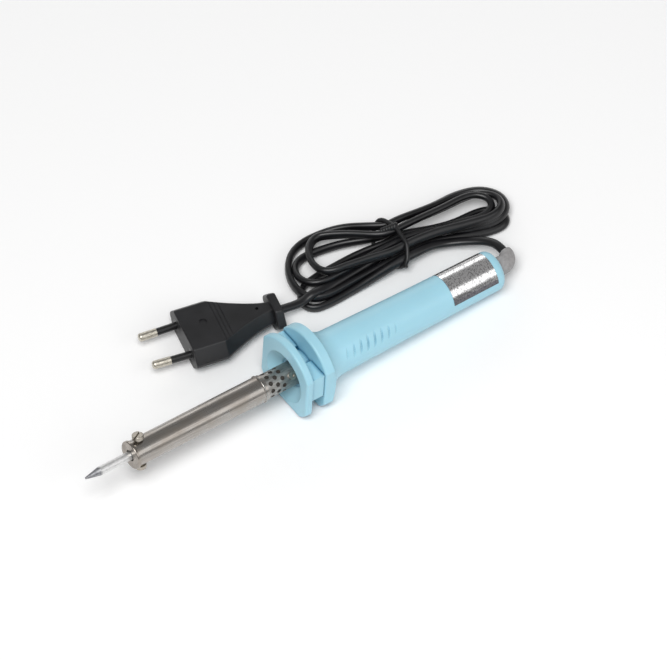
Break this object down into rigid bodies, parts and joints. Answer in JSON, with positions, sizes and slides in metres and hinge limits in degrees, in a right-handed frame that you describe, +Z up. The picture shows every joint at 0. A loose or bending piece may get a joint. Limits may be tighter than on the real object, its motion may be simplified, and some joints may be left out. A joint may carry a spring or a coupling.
{
  "type": "soldering iron",
  "caption": "Mains soldering iron with a pencil bit held by set screws, vented sleeve, two-flange blue guard and handle, and a tied cord with a flat two-pin plug.",
  "frame": {"origin": "On the floor, under the middle of the iron's own box: the cord, hank and plug are left out.", "axes": "+X runs along the iron from its bit to its cord, +Y to the side the cord lies on, +Z up. The iron's own axis leans 3.18 degrees nose up, as it rests on its guard and on the end of its handle."},
  "size_m": [0.2649, 0.0892, 0.0373],
  "materials": {
    "bit_metal": "satin plated copper, tinned at the point",
    "nickel_steel": "nickel-plated turned steel",
    "screw_steel": "plated steel",
    "barrel_steel": "bright stainless tube",
    "sleeve_steel": "plain stainless tube",
    "inner_steel": "plain stainless tube",
    "ceramic": "unglazed steatite",
    "resistance_wire": "nickel-chrome wire",
    "mica": "mica sheet",
    "glass_sleeving": "woven glass sleeving",
    "blue_plastic": "semi-gloss moulded nylon",
    "foil": "bright metallised label film, blank",
    "block_plastic": "natural nylon",
    "terminal_brass": "nickel-free brass",
    "core_insulation": "PVC",
    "cord_pvc": "semi-matt black PVC",
    "ferrule_steel": "plated steel",
    "grey_rubber": "matt grey PVC",
    "tie_plastic": "plastic-coated wire",
    "plug_pvc": "satin black PVC",
    "collar_plastic": "black nylon",
    "pin_brass": "nickel-plated brass"
  },
  "bodies": {
    "iron": {"end_cap": "nickel_steel", "barrel_tube": "barrel_steel", "mounting_sleeve": "sleeve_steel", "sleeve_screws": "screw_steel", "heater_tube": "inner_steel", "heater_former": "ceramic", "heater_winding": "resistance_wire", "mica_wrap": "mica", "heater_carrier": "ceramic", "heater_lead_wires": "resistance_wire", "heater_lead_sleeving": "glass_sleeving", "terminal_block": "block_plastic", "terminal_tubes": "terminal_brass", "terminal_screws": "screw_steel", "cord_cores": "core_insulation", "cord_sheath_end": "cord_pvc", "cord_ferrule": "ferrule_steel", "front_guard": "blue_plastic", "handle_shell": "blue_plastic", "foil_label": "foil", "strain_relief": "grey_rubber", "cord_lead": "cord_pvc", "cord_hank": "cord_pvc", "cord_tail": "cord_pvc", "cord_tie": "tie_plastic", "plug_body": "plug_pvc", "plug_collars": "collar_plastic", "plug_pins": "pin_brass", "plug_pin_sleeves": "collar_plastic"},
    "bit": {"bit": "bit_metal"},
    "set_screw_upper": {"set_screw_upper": "screw_steel"},
    "set_screw_lower": {"set_screw_lower": "screw_steel"}
  },
  "joints": [
    {"name": "bit_slide", "type": "slide", "parent": "iron", "child": "bit", "axis": [-0.9985, 0, 0.0555], "range_m": [0, 0.065]},
    {"name": "set_screw_upper_turn", "type": "hinge", "parent": "iron", "child": "set_screw_upper", "pos_m": [-0.09272, 0, 0.02099], "axis": [0.0543, 0.2079, 0.9766], "range_deg": [0, 720]},
    {"name": "set_screw_lower_turn", "type": "hinge", "parent": "iron", "child": "set_screw_lower", "pos_m": [-0.09272, 0, 0.02099], "axis": [-0.0543, -0.2079, -0.9766], "range_deg": [0, 720]}
  ]
}
